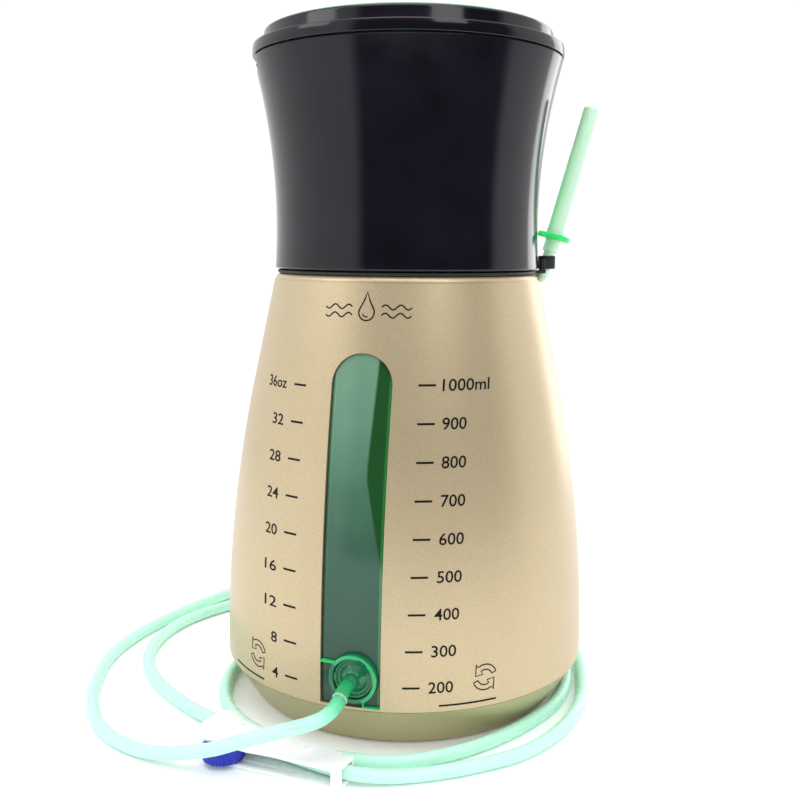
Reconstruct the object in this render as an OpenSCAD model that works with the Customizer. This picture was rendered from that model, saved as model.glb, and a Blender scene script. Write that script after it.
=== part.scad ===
// Gravity irrigator bottle with storage cup, hose, roller clamp and nozzle.
// Z is up, the level window faces -Y, and the origin is the centre of the face it rests on.

/* [Bottle] */
// Largest radius of the bottle, at the top edge of its base
body_r = 61.8; // [58:0.1:64]
// Height of the bevelled base
base_h = 14.7; // [12:0.1:18]
// Radius of the base where it meets the table
base_r = 52.3; // [48:0.1:54]
// Height of the shoulder under the cup
shoulder_z = 143.6; // [138:0.1:148]
// Radius of the long side curve
side_curve_r = 434; // [380:1:520]
// Height above the base at which the side turns straight
side_curve_h = 91; // [80:1:100]
// Thickness of the gold casing
casing_wall = 1.8; // [1.4:0.1:2.2]
// Thickness of the reservoir
tank_wall = 2.2; // [1.8:0.1:3]

/* [Level window] */
// Width of the window slot
window_w = 19; // [16:0.5:22]
// Offset of the window's middle line from the bottle's axis
window_x = 0.8; // [0:0.1:1.5]
// Height of the window's round top
window_top_z = 121; // [100:1:126]
// Depth of the window below the casing's face
window_recess = 0.9; // [0.6:0.1:1.2]

/* [Cup and lid] */
// Height of the cup's lower edge
cup_z = 145.1; // [145.1:0.1:145.6]
// Height of the seam between cup and lid
seam_z = 212.2; // [205:0.1:218]
// Radius of the cup's waist
waist_r = 43.7; // [43:0.1:46]
// Height of the waist
waist_z = 160; // [156:1:166]
// Radius of the cup's flare curve
flare_r = 200; // [180:1:240]
// Thickness of the cup
cup_wall = 2.2; // [1.8:0.1:2.6]
// Height of the lid's rim
lid_ring_h = 3.6; // [3:0.1:5]
// Height of the lid's raised top
lid_cap_h = 4.6; // [3:0.1:6]
// Radius of the lid's raised top
lid_cap_r = 47.6; // [44:0.1:48.5]

/* [Neck] */
// Outer radius of the neck
neck_r = 36; // [34:0.1:36.5]
// Height of the neck's mouth
neck_top_z = 160; // [158:0.1:160]
// Rise of the thread in one turn
thread_pitch = 4; // [3:0.5:5]
// Height of the thread's ridge
thread_h = 1.1; // [0.8:0.1:1.3]

/* [Outlet] */
// Height of the outlet's centre
outlet_z = 24.4; // [23:0.1:28]
// Offset of the outlet's centre from the bottle's axis
outlet_x = 2; // [1.8:0.1:2.2]
// Outer radius of the outlet socket
socket_r = 7.6; // [7.5:0.1:8.4]
// Radius of the connector's collar
collar_r = 6.25; // [6:0.05:6.5]
// Reach of the hose connector's stub from the bottle's axis
stub_reach = 67; // [66.5:0.1:67]

/* [Hose and nozzle] */
// Outer diameter of the hose
hose_d = 4.2; // [4:0.1:4.4]
// Lean of the parked nozzle from upright
nozzle_lean = 15.2; // [14.6:0.1:15.6]
// Direction of the nozzle round the bottle, from the front towards +X
nozzle_turn = 110; // [109.5:0.1:110.5]
// Distance of the nozzle's flange from the bottle's axis
flange_reach = 50.2; // [50:0.1:50.5]
// Height of the nozzle's flange
flange_z = 155.8; // [155.4:0.1:156.2]
// Radius of the nozzle's flange
flange_r = 5.6; // [5:0.1:6]
// Length of the sheath over the nozzle
sheath_l = 43.5; // [39:0.5:46]
// Length of the nozzle's slim tip
tip_l = 35; // [28:1:36]

/* [Roller clamp] */
// Height of the housing as it lies on its side
clamp_h = 7; // [7:0.1:7.4]
// Direction of the housing, turned from +X towards -Y
clamp_turn = 11; // [10:0.5:12]
// Thickness of the housing's walls
clamp_wall = 1.2; // [1:0.05:1.3]
// Radius of the clamp's wheel
wheel_r = 6.3; // [6:0.1:6.3]
// Ribs on the wheel's rim
wheel_ribs = 40; // [24:1:48]
// Radius of the wheel's axle
axle_r = 1.1; // [0.9:0.05:1.3]

/* [Hidden] */
$fn = 96;

// Gaps: between pieces of one body, and between a turning piece and its seat
gap = 0.3;
running_gap = 0.05;
// Heights at which the bottle's side is sampled
side_steps = 20;
flare_steps = 12;
bevel_slope = (body_r - base_r) / base_h;
straight_slope = side_curve_h / sqrt(side_curve_r * side_curve_r - side_curve_h * side_curve_h);

// Radius of the bottle's outer face at height z: a straight bevel, a long curve, a straight cone
function curve_drop(h) = side_curve_r - sqrt(side_curve_r * side_curve_r - h * h);
function side_r(z) =
    z < base_h ? body_r - (base_h - z) * bevel_slope :
    z < base_h + side_curve_h ? body_r - curve_drop(z - base_h) :
    body_r - curve_drop(side_curve_h) - (z - base_h - side_curve_h) * straight_slope;
// Points up the bottle's side, set in from its outer face
function side_points(inset, z0, z1) =
    [for (i = [0:side_steps]) let (z = z0 + (z1 - z0) * i / side_steps) [side_r(z) - inset, z]];
// Radius of the cup's outer face at height z
function cup_r(z) = waist_r + flare_r - sqrt(flare_r * flare_r - (z - waist_z) * (z - waist_z));
function cup_points(inset, z0, z1) =
    [for (i = [0:flare_steps]) let (z = z0 + (z1 - z0) * i / flare_steps) [cup_r(z) - inset, z]];
function reversed(list) = [for (i = [len(list) - 1:-1:0]) list[i]];

tank_inset = casing_wall + gap;
tank_floor_z = 4;
tank_floor_h = 2.4;
weld_h = 1;
step_r = 39.4;
casing_top_wall = 1.7;
bottom_chamfer = 1.2;
pad_r = 46;
pad_h = 2.6;
outlet_hole_r = 4.2;
face_y = side_r(outlet_z);
socket_back = face_y - 2.8;
socket_front = face_y + 0.8;
groove_r = 7;
notch_angle = 26;
lug_angle = 22;
ridge_h = 0.5;
ridge_r = 6.5;
ridge_start = -65;
ridge_span = 209;
notch_place = 60;
lug_h = 0.95;
nose_r = 3.2;
connector_seat = socket_back + 1;

thread_z = 148.4;
cup_floor_z = neck_top_z + 1;
cup_floor = 2.2;
socket_in_r = neck_r + thread_h + 0.5;
socket_out_r = socket_in_r + 2.2;
cup_skirt_r = 41.4;
valve_hole_r = 3;
notch_turn = -67;
notch_r = 7.5;
slot_turn = 104.5;
slot_w = 12;
slot_z0 = 152;
slot_z1 = 200;
slot_face = 42.2;

lid_z = seam_z + gap;
rim_z = lid_z + lid_ring_h;
plate_r = 45.8;
plate_h = 0.9;
plug_z = seam_z - 7.7;
seal_z = seam_z - 3.2;
seal_d = 1.5;

eye_r = 2.9;
eye_h = 4.4;
eye_drop = 8.8;
eye_hole_r = 2.1;
band_z = shoulder_z + 0.1;
elbow_drop = 10.9;
elbow_r = 2.8;
stem_r = 1.9;
flange_h = 1.8;

clamp_x = -46;
clamp_y = -73.5;
wheel_u = 12.5;
wheel_v = -0.4;
wheel_z = 1.4;
track_turn = 5.35;
track_back = 3;
track_ahead = 23.5;
axle_groove = 0.6;
// Front edge and back edge of the housing's plates, from the wide end
clamp_outline = [[0, 1.2], [6, -2.4], [22, -2.4], [30, -1.2], [52, 0], [52, 9.2], [16, 11.3], [11, 12.6],
    [6, 15.6], [2.5, 16], [0, 14.6]];
clamp_channel = [[-1, -5], [49.5, -5], [49.5, 2.5], [53, 2.5], [53, 8], [15.9, 10.1], [10.5, 11.4],
    [5.5, 14.3], [3.2, 15], [-1, 17]];

// Way of the hose: from the outlet round the bottle, through the clamp, twice more round, up to the nozzle
hose_route = [
    [2, -67, 24.4], [2, -69.6, 24.4], [1.9, -73, 23.1], [1.2, -76.8, 21.4], [-1, -80.4, 20],
    [-4.8, -83.1, 18.9], [-9.5, -84.5, 17.6], [-16, -85.3, 15.3], [-24, -85.7, 12.2], [-34, -85.8, 8.2],
    [-54, -83.5, 3.2], [-67, -79.3, 2.3], [-79, -71.8, 2.2], [-91, -58, 2.2], [-100, -41, 2.2],
    [-106.5, -21, 2.2], [-107.5, 0, 2.2], [-104, 21, 2.2], [-98, 42, 2.2], [-90, 62, 2.2],
    [-77, 80, 2.2], [-57, 92, 2.2], [-34, 97, 2.2], [-9, 95, 2.2], [15, 86, 2.2], [49, 53, 2.2],
    [57.5, 33, 2.2], [62.5, 11, 2.2], [64, -10, 2.2], [60.5, -31, 2.2], [52, -48.5, 2.2],
    [40, -60.5, 2.2], [27, -69.6, 2.2], [16, -75.5, 2.8], [6, -77.7, 3.5], [-22, -71, 3.5],
    [-32, -67.7, 3.5], [-39, -64, 3.5], [-46, -59.2, 3.3], [-56, -53, 2.3], [-70, -44, 2.2],
    [-83, -32.5, 2.2], [-93, -18, 2.2], [-97.8, -1, 2.2], [-97, 17, 2.2], [-90, 35, 2.2],
    [-77, 51.5, 2.2], [-60, 65, 2.2], [-38, 74.5, 2.2], [9, 74, 2.2], [29, 63, 2.2], [43.5, 47, 2.2],
    [52.5, 28, 2.2], [57.2, 8, 2.2], [56.4, -11, 2.2], [50, -29, 2.2], [41, -44.5, 2.2], [30, -57, 2.2],
    [16, -66, 2.2], [0, -68.4, 2.2], [-16, -65.8, 2.2], [-30, -60.4, 2.2], [-41.5, -52.5, 2.2],
    [-50.5, -41, 2.2], [-56.5, -26, 2.2], [-59, -8, 2.2], [-58.5, 11, 2.2], [-53.5, 31, 2.2],
    [-43, 48, 2.2], [-30, 60, 2.4], [-18, 66.6, 4], [-9, 68.8, 9], [-4, 68, 19], [-2, 64.8, 45],
    [-1.2, 60.8, 78], [0.5, 57.3, 98], [4.5, 53.8, 114], [13, 49.2, 126], [23, 43.2, 133],
    [31, 36.7, 137.4], [36.6, 30.8, 140.2], [39.9, 25.8, 141.8], [41.8, 21.5, 142.5],
    [42.8, 18.6, 142.6]
];
hose_side = [-1, 0, 1];

// A ring-shaped solid between two radii
module ring(r_out, r_in, z0, h) {
    translate([0, 0, z0]) difference() {
        cylinder(r = r_out, h = h);
        translate([0, 0, -1]) cylinder(r = r_in, h = h + 2);
    }
}

// A frame whose Z axis runs out of the outlet along -Y, with its origin beside the bottle's axis
module outlet_frame() {
    translate([outlet_x, 0, outlet_z]) rotate([90, 0, 0]) children();
}

// A round bar along -Y at the outlet, from y0 to y1 ahead of the axis
module outlet_bar(r, y0, y1) {
    outlet_frame() translate([0, 0, y0]) cylinder(r = r, h = y1 - y0);
}

// The window's outline as a prism through the front wall
module window_prism(w, z0, z_top) {
    translate([window_x, -30, 0]) rotate([90, 0, 0]) linear_extrude(height = 50) union() {
        translate([-w / 2, z0]) square([w, z_top - w / 2 - z0]);
        translate([0, z_top - w / 2]) circle(d = w);
    }
}

module casing() {
    color([0.8, 0.73, 0.58]) difference() {
        rotate_extrude($fn = 180) polygon(concat(
            side_points(0, base_h, shoulder_z - 2),
            [for (a = [0:15:90]) [side_r(shoulder_z - 2) - 2.4 + 2 * cos(a), shoulder_z - 2 + 2 * sin(a)]],
            [[step_r + gap, shoulder_z], [step_r + gap, shoulder_z - casing_top_wall]],
            reversed(side_points(casing_wall, base_h, shoulder_z - casing_top_wall))
        ));
        window_prism(window_w, base_h + 0.8, window_top_z);
    }
}

// Ridge of a screw thread as one swept band, following a right-hand helix
module thread(r_root, r_crest, z_start) {
    steps = 45;
    corners = [[r_root, -0.9], [r_crest, -0.5], [r_crest, 0.5], [r_root, 0.9]];
    points = [for (i = [0:steps], c = corners) let (a = 12 * i)
        [c[0] * cos(a), c[0] * sin(a), z_start + thread_pitch * i / 30 + c[1]]];
    inward = r_crest < r_root;
    sides = [for (i = [0:steps - 1], k = [0:3]) let (a = 4 * i + k, b = 4 * i + (k + 1) % 4)
        inward ? [a, a + 4, b + 4, b] : [a, b, b + 4, a + 4]];
    e = 4 * steps;
    ends = inward ? [[0, 1, 2, 3], [e + 3, e + 2, e + 1, e]] : [[3, 2, 1, 0], [e, e + 1, e + 2, e + 3]];
    polyhedron(points = points, faces = concat(sides, ends));
}

module tank() {
    top_z = shoulder_z - casing_top_wall - gap;
    floor_z = tank_floor_z + tank_floor_h + gap / 3;
    color([0.35, 0.6, 0.45, 0.8]) difference() {
        union() {
            rotate_extrude($fn = 180) polygon(concat(
                side_points(tank_inset, floor_z, base_h),
                side_points(tank_inset, base_h + 1, top_z),
                reversed(side_points(tank_inset + tank_wall, base_h + 1, top_z)),
                reversed(side_points(tank_inset + tank_wall, floor_z, base_h))
            ));
            intersection() {
                window_prism(window_w - 2 * gap, base_h + 0.8 + gap, window_top_z - gap);
                rotate_extrude($fn = 180) polygon(concat(
                    side_points(window_recess, base_h, window_top_z + 5),
                    reversed(side_points(tank_inset + 0.5, base_h, window_top_z + 5))
                ));
            }
        }
        outlet_bar(outlet_hole_r, 50, 70);
        outlet_bar(socket_r + 0.1, socket_back - 0.1, 70);
    }
}

// The reservoir's bottom plate, welded inside the wall's lower edge
module tank_floor() {
    rim_r = side_r(tank_floor_z + tank_floor_h) - tank_inset;
    weld_r = side_r(tank_floor_z + tank_floor_h + weld_h) - tank_inset - tank_wall - 2 * running_gap;
    color([0.3, 0.55, 0.42, 0.8]) rotate_extrude($fn = 180) polygon([
        [0, tank_floor_z], [side_r(tank_floor_z) - tank_inset, tank_floor_z],
        [rim_r, tank_floor_z + tank_floor_h], [rim_r - tank_wall - 1, tank_floor_z + tank_floor_h],
        [weld_r - 1, tank_floor_z + tank_floor_h + weld_h - 0.5],
        [weld_r - 3, tank_floor_z + tank_floor_h + weld_h - 0.5],
        [weld_r - 4, tank_floor_z + tank_floor_h], [0, tank_floor_z + tank_floor_h]
    ]);
}

// The reservoir's mouth: a shoulder plate and the threaded neck
module neck_ring() {
    plate_z = shoulder_z - casing_top_wall - gap;
    plate_r = side_r(plate_z) - tank_inset - tank_wall - 2 * running_gap;
    color([0.35, 0.6, 0.45, 0.8]) union() {
        rotate_extrude($fn = 180) polygon([
            [neck_r - tank_wall, plate_z - tank_wall], [plate_r, plate_z - tank_wall], [plate_r, plate_z],
            [step_r, plate_z], [step_r, shoulder_z], [neck_r, shoulder_z], [neck_r, neck_top_z],
            [neck_r - tank_wall, neck_top_z]
        ]);
        thread(neck_r - 0.3, neck_r + thread_h, thread_z);
    }
}

module base_shell() {
    color([0.5, 0.46, 0.34]) rotate_extrude($fn = 180) polygon([
        [0, pad_h], [pad_r + 0.2, pad_h], [pad_r + 0.2, 0], [base_r - bottom_chamfer, 0],
        [base_r - 0.2, 0.5], [side_r(1.6), 1.6], [body_r, base_h - 0.1],
        [body_r - casing_wall, base_h - 0.1], [side_r(tank_floor_z) - casing_wall, tank_floor_z - gap],
        [0, tank_floor_z - gap]
    ]);
}

module foot_pad() {
    color([0.15, 0.15, 0.16]) cylinder(r = pad_r, h = pad_h - 0.05);
}

module neck_seal() {
    color([0.1, 0.1, 0.11]) ring(step_r - gap, neck_r + thread_h + gap, shoulder_z + 0.05, 1.3);
}

// A frame whose Z axis runs up the parked nozzle, with its origin at the flange
module nozzle_frame() {
    rotate([0, 0, nozzle_turn - 90]) translate([flange_reach, 0, flange_z]) rotate([0, nozzle_lean, 0])
        children();
}

module holder_band() {
    post_y = -4.6;
    post_w = 2.4;
    post_x = 44.9;
    post_d = 2;
    eye_reach = flange_reach - eye_drop * sin(nozzle_lean);
    eye_z = flange_z - eye_drop * cos(nozzle_lean) - eye_h / 2;
    color([0.08, 0.08, 0.09]) difference() {
        union() {
            ring(43.4, step_r + gap, band_z, 1);
            rotate([0, 0, nozzle_turn - 90]) {
                translate([41.5, post_y, band_z]) cube([post_x + post_d - 41.5, post_w, 1]);
                translate([post_x, post_y, band_z]) cube([post_d, post_w + 0.6, 4.8]);
                translate([eye_reach, 0, eye_z]) cylinder(r = eye_r, h = eye_h);
            }
        }
        nozzle_frame() translate([0, 0, -eye_drop - 6]) cylinder(r = eye_hole_r, h = 12);
    }
}

// The cup's side slot as a prism with round ends, for its window
module cup_slot(w, z0, z1, face) {
    rotate([0, 0, slot_turn - 90]) translate([face, 0, 0]) rotate([90, 0, 90]) linear_extrude(height = 20)
        union() {
            translate([-w / 2, z0 + w / 2]) square([w, z1 - z0 - w]);
            translate([0, z0 + w / 2]) circle(d = w);
            translate([0, z1 - w / 2]) circle(d = w);
        }
}

module cup_shell() {
    color([0.05, 0.045, 0.06]) difference() {
        rotate_extrude($fn = 180) polygon(concat(
            [[cup_skirt_r, cup_z], [cup_r(cup_z) - 0.5, cup_z]],
            cup_points(0, cup_z + 0.5, seam_z),
            reversed(cup_points(cup_wall, waist_z, seam_z))
        ));
        cup_slot(slot_w, slot_z0, slot_z1, slot_face);
        rotate([0, 0, notch_turn - 90]) translate([cup_r(seam_z) + notch_r - 1.5, 0, seam_z - 3])
            rotate([90, 0, 0]) cylinder(r = notch_r, h = 16, center = true);
    }
}

// The threaded cap inside the cup, which is also its floor
module cup_socket() {
    floor_r = cup_r(cup_floor_z) - cup_wall - running_gap;
    color([0.06, 0.055, 0.07]) difference() {
        union() {
            rotate_extrude($fn = 180) polygon([
                [valve_hole_r, cup_floor_z], [socket_in_r, cup_floor_z], [socket_in_r, cup_z + 0.3],
                [socket_out_r, cup_z + 0.3], [socket_out_r, cup_floor_z], [floor_r, cup_floor_z],
                [floor_r, cup_floor_z + cup_floor], [valve_hole_r, cup_floor_z + cup_floor]
            ]);
            thread(socket_in_r + 0.3, neck_r + 0.4, thread_z - thread_pitch / 2);
        }
        translate([0, 0, cup_floor_z - 1]) cylinder(r = valve_hole_r, h = cup_floor + 2);
    }
}

module cup_window() {
    color([0.3, 0.75, 0.45, 0.8]) intersection() {
        cup_slot(slot_w - gap, slot_z0 + gap / 2, slot_z1 - 4, slot_face + 0.1);
        rotate_extrude($fn = 180) polygon(concat(
            cup_points(0.25, slot_z0 - 1, slot_z1 + 1),
            reversed(cup_points(cup_wall, slot_z0 - 1, slot_z1 + 1))
        ));
    }
}

module vent_valve() {
    color([0.85, 0.87, 0.86]) difference() {
        union() {
            translate([0, 0, cup_floor_z + cup_floor + 0.05]) cylinder(r = 6, h = 1.2);
            translate([0, 0, cup_floor_z - 0.5]) cylinder(r = valve_hole_r - 0.05, h = cup_floor + 1);
            translate([0, 0, cup_floor_z - 0.95]) cylinder(r = valve_hole_r + 0.7, h = 0.9);
        }
        translate([0, 0, cup_floor_z - 2]) cylinder(r = 0.8, h = cup_floor + 5);
    }
}

module lid_ring() {
    color([0.05, 0.045, 0.06]) rotate_extrude($fn = 180) polygon([
        [49.2, lid_z], [50.6, lid_z], [50.9, lid_z + 0.3], [50.9, rim_z - 0.8], [50.2, rim_z],
        [48, rim_z], [48, lid_z + 1.4], [49.2, lid_z + 1.4]
    ]);
}

module lid_liner() {
    groove_in = 46;
    color([0.25, 0.7, 0.4, 0.9]) rotate_extrude($fn = 180) polygon([
        [0, rim_z - 1.6], [45.2, rim_z - 1.6], [44, plug_z], [45.8, plug_z], [46.8, seal_z],
        [groove_in, seal_z], [groove_in, seal_z + seal_d], [47.2, seal_z + seal_d], [47.5, lid_z],
        [47.7, lid_z + 1.4], [47.7, rim_z], [0, rim_z]
    ]);
}

module lid_seal() {
    color([0.7, 0.75, 0.72]) rotate_extrude($fn = 120) translate([46.8, seal_z + seal_d / 2])
        circle(r = seal_d / 2 - 0.05, $fn = 24);
}

module lid_cap() {
    edge_z = rim_z + lid_cap_h;
    edge = 1;
    edge_r = lid_cap_r - 0.5;
    color([0.05, 0.045, 0.06]) rotate_extrude($fn = 180) polygon(concat(
        [[0, rim_z + running_gap], [lid_cap_r, rim_z + running_gap]],
        [for (a = [0:15:90]) [edge_r - edge + edge * cos(a), edge_z - edge + edge * sin(a)]],
        [[plate_r, edge_z], [plate_r, edge_z - plate_h], [0, edge_z - plate_h]]
    ));
}

// A clear disc set into the lid's top, standing a little proud of it
module lid_plate() {
    low_z = rim_z + lid_cap_h - plate_h + running_gap;
    high_z = rim_z + lid_cap_h + 0.35;
    dome_h = 0.4;
    disc_r = plate_r - running_gap;
    color([0.25, 0.7, 0.4, 0.9]) rotate_extrude($fn = 180) polygon(concat(
        [[0, low_z], [disc_r, low_z], [disc_r, high_z - 0.2]],
        [for (i = [8:-1:0]) let (r = (disc_r - 0.3) * i / 8) [r, high_z + dome_h * (1 - pow(i / 8, 2))]]
    ));
}

// A pair of opposite sectors of a given width round the outlet's axis
module outlet_sectors(r_out, r_in, y0, y1, width, turn) {
    outlet_frame() for (side = [0, 180])
        rotate([0, 0, side + turn - width / 2]) rotate_extrude(angle = width)
            translate([r_in, y0]) square([r_out - r_in, y1 - y0]);
}

module outlet_socket() {
    color([0.1, 0.7, 0.35, 0.9]) difference() {
        union() {
            outlet_bar(socket_r, socket_back, socket_front);
            outlet_frame() rotate([0, 0, ridge_start]) rotate_extrude(angle = ridge_span)
                translate([ridge_r, socket_front - 0.5]) square([socket_r - ridge_r, ridge_h + 0.5]);
        }
        outlet_bar(outlet_hole_r, socket_back - 1, socket_front);
        outlet_bar(collar_r + running_gap, connector_seat, socket_front + 1);
        outlet_bar(groove_r, connector_seat + 0.7, socket_front - 0.6);
        outlet_sectors(groove_r, collar_r - 1, socket_front - 1, socket_front + 1, notch_angle, notch_place);
    }
}

module outlet_connector() {
    back = connector_seat + 0.2;
    front = socket_front - 0.8;
    rib_pitch = 1.3;
    oring_y = back - 2.2;
    color([0.1, 0.5, 0.28, 0.95]) difference() {
        union() {
            outlet_bar(collar_r, back, front);
            outlet_sectors(groove_r - 0.1, collar_r - 0.5, front - lug_h, front, lug_angle, 0);
            outlet_bar(nose_r, back - 3.6, back);
            outlet_bar(hose_d / 2 - 0.1, front, stub_reach);
            for (y = [front + 1:rib_pitch:stub_reach - 1]) outlet_bar(hose_d / 2 + 0.3, y, y + rib_pitch / 2);
        }
        difference() {
            outlet_bar(nose_r + 1, oring_y - 0.6, oring_y + 0.6);
            outlet_bar(nose_r - 0.5, oring_y - 1, oring_y + 1);
        }
        outlet_bar(1.1, back - 5, stub_reach + 1);
    }
}

module outlet_oring() {
    oring_d = 1;
    color([0.12, 0.12, 0.12]) outlet_frame() translate([0, 0, connector_seat - 2])
        rotate_extrude() translate([outlet_hole_r - running_gap - oring_d / 2, 0])
            circle(d = oring_d, $fn = 24);
}

// The hose as one tube: each ring faces along the route at its point
module hose() {
    sides = 8;
    last = len(hose_route) - 1;
    function unit(v) = v / norm(v);
    function heading(i) = unit(hose_route[min(i + 1, last)] - hose_route[max(i - 1, 0)]);
    points = [for (i = [0:last]) let (t = heading(i), a = unit(cross(t, hose_side)), b = cross(t, a))
        for (k = [0:sides - 1]) let (w = 360 * k / sides)
            hose_route[i] + hose_d / 2 * (a * cos(w) + b * sin(w))];
    walls = [for (i = [0:last - 1], k = [0:sides - 1])
        let (p = i * sides + k, q = i * sides + (k + 1) % sides) [p, p + sides, q + sides, q]];
    ends = [[for (k = [0:sides - 1]) k], [for (k = [sides - 1:-1:0]) last * sides + k]];
    color([0.65, 0.93, 0.8, 0.9]) polyhedron(points = points, faces = concat(walls, ends));
}

// A frame along the clamp's housing, on the surface that it lies on
module clamp_frame() {
    translate([clamp_x, clamp_y, 0]) rotate([0, 0, -clamp_turn]) children();
}

// A frame at the wheel's centre, with X along the track of its axle
module wheel_frame() {
    clamp_frame() translate([wheel_u, wheel_v, 0]) rotate([0, 0, track_turn]) children();
}

// The axle's track, cut into a plate's inner face
module axle_track(z) {
    r = axle_r + running_gap;
    wheel_frame() translate([0, 0, z]) {
        translate([-track_back, 0, 0]) cylinder(r = r, h = axle_groove + 0.1);
        translate([track_ahead, 0, 0]) cylinder(r = r, h = axle_groove + 0.1);
        translate([-track_back, -r, 0]) cube([track_back + track_ahead, 2 * r, axle_groove + 0.1]);
    }
}

module clamp_body() {
    color([0.93, 0.93, 0.95]) difference() {
        clamp_frame() difference() {
            linear_extrude(height = clamp_h) polygon(clamp_outline);
            translate([0, 0, clamp_wall]) linear_extrude(height = clamp_h - 2 * clamp_wall)
                polygon(clamp_channel);
        }
        axle_track(clamp_wall - axle_groove);
        axle_track(clamp_h - clamp_wall - 0.1);
    }
}

module clamp_axle() {
    end = clamp_wall - axle_groove + 0.05;
    color([0.8, 0.82, 0.84]) wheel_frame() translate([0, 0, end]) cylinder(r = axle_r, h = clamp_h - 2 * end);
}

module clamp_wheel() {
    rib_h = 0.35;
    color([0.15, 0.22, 0.75]) wheel_frame() difference() {
        translate([0, 0, wheel_z]) linear_extrude(height = clamp_h - 2 * wheel_z) polygon([
            for (i = [0:wheel_ribs - 1], k = [0:3])
                let (a = 360 * (i + k / 4) / wheel_ribs, r = wheel_r - (k > 1 ? rib_h : 0))
                [r * cos(a), r * sin(a)]
        ]);
        cylinder(r = axle_r + running_gap, h = clamp_h);
    }
}

module nozzle_adapter() {
    bore_r = 0.8;
    color([0.1, 0.85, 0.4, 0.9]) nozzle_frame() difference() {
        union() {
            translate([0, 0, -elbow_drop]) cylinder(r = stem_r, h = elbow_drop);
            translate([0, 0, -5]) cylinder(r = 2.5, h = 5);
            translate([0, 0, -flange_h / 2]) cylinder(r = flange_r, h = flange_h);
            cylinder(r = 2.35, h = 3);
            cylinder(r = 2, h = 6);
            elbow(stem_r);
        }
        translate([0, 0, -elbow_drop]) cylinder(r = bore_r, h = 20);
        elbow(bore_r);
        translate([0, 0, 3.5]) cylinder(r = 1.5, h = 5);
    }
}

// The quarter turn below the holder, towards the back of the bottle
module elbow(r) {
    translate([0, elbow_r, -elbow_drop]) rotate([0, 90, 0]) rotate([0, 0, -90])
        rotate_extrude(angle = 90) translate([elbow_r, 0]) circle(r = r, $fn = 48);
}

module nozzle_tip() {
    base_z = 3.55;
    end_r = 0.95;
    color([0.6, 0.95, 0.7, 0.9]) nozzle_frame() difference() {
        union() {
            translate([0, 0, base_z]) cylinder(r = 1.45, h = 3);
            translate([0, 0, base_z + 3]) cylinder(r1 = 1.45, r2 = end_r, h = tip_l - 3 - end_r);
            translate([0, 0, base_z + tip_l - end_r]) sphere(r = end_r);
        }
        translate([0, 0, base_z - 1]) cylinder(r = 0.5, h = tip_l + 2);
    }
}

module tip_sheath() {
    foot_r = 2.95;
    top_r = 2.6;
    wall = 0.5;
    start = flange_h / 2 + 0.1;
    end = start + sheath_l;
    edge = 0.9;
    color([0.65, 0.97, 0.72, 0.7]) nozzle_frame() rotate_extrude() polygon(concat(
        [[foot_r - wall, start], [foot_r, start], [top_r, end - edge]],
        [for (a = [15:15:90]) [top_r - edge + edge * cos(a), end - edge + edge * sin(a)]],
        [[0, end], [0, end - wall], [top_r - edge, end - wall], [top_r - wall, end - edge]]
    ));
}

casing();
tank();
tank_floor();
neck_ring();
base_shell();
foot_pad();
neck_seal();
holder_band();
cup_shell();
cup_socket();
cup_window();
vent_valve();
lid_ring();
lid_liner();
lid_cap();
lid_plate();
lid_seal();
outlet_socket();
outlet_connector();
outlet_oring();
hose();
clamp_body();
clamp_axle();
clamp_wheel();
nozzle_adapter();
nozzle_tip();
tip_sheath();
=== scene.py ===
# Looks of a gravity irrigator bottle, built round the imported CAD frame.
# Shapes are written in millimetres; build() turns them into metres.
from math import cos, pi, radians, sin, sqrt, tan

import bmesh
import bpy
from mathutils import Euler, Matrix, Vector


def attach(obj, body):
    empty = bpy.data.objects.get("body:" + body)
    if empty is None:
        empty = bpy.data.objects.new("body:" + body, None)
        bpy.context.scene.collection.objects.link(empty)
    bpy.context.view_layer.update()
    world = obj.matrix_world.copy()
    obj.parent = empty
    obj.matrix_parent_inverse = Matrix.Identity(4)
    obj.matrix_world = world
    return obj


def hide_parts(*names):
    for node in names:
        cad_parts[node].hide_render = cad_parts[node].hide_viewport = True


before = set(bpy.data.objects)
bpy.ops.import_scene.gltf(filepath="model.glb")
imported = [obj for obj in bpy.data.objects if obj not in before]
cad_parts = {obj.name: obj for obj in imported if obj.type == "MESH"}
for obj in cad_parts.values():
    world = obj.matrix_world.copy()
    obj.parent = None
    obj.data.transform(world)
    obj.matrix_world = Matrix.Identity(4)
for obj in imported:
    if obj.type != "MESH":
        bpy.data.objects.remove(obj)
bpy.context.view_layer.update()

scene = bpy.context.scene
MM = 0.001
TURN = 2 * pi

# -------------------------------------------------------- sizes, in millimetres

BODY_R = 61.8
BASE_H = 14.7
BASE_R = 52.3
SHOULDER_Z = 143.6
SIDE_CURVE_R = 434
SIDE_CURVE_H = 91
CASING_WALL = 1.8
TANK_INSET = 2.1
TANK_WALL = 2.2
WINDOW_W = 19
WINDOW_X = 0.8
WINDOW_Z0 = 15.5
WINDOW_Z1 = 121
WINDOW_RECESS = 0.9
NECK_R = 36
NECK_TOP = 160
STEP_R = 39.4
THREAD_Z = 148.4
THREAD_PITCH = 4
CUP_Z = 145.1
SEAM_Z = 212.2
WAIST_R = 43.7
WAIST_Z = 160
FLARE_R = 200
CUP_WALL = 2.2
CUP_FLOOR = 161
SOCKET_IN = 37.6
SOCKET_OUT = 39.8
SLOT_TURN = 104.5
LID_Z = 212.5
RIM_Z = 216.1
LID_CAP_R = 47.6
OUTLET_Z = 24.4
OUTLET_X = 2
SOCKET_R = 7.6
RIDGE_R = 6.5
GROOVE_R = 7
SOCKET_BACK = 58.9
SOCKET_FRONT = 62.5
CONNECTOR_SEAT = 59.9
STUB_REACH = 67
HOSE_D = 4.2
HOSE_BORE = 2.9
FLANGE_REACH = 50.2
FLANGE_Z = 155.8
FLANGE_R = 5.6
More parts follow.
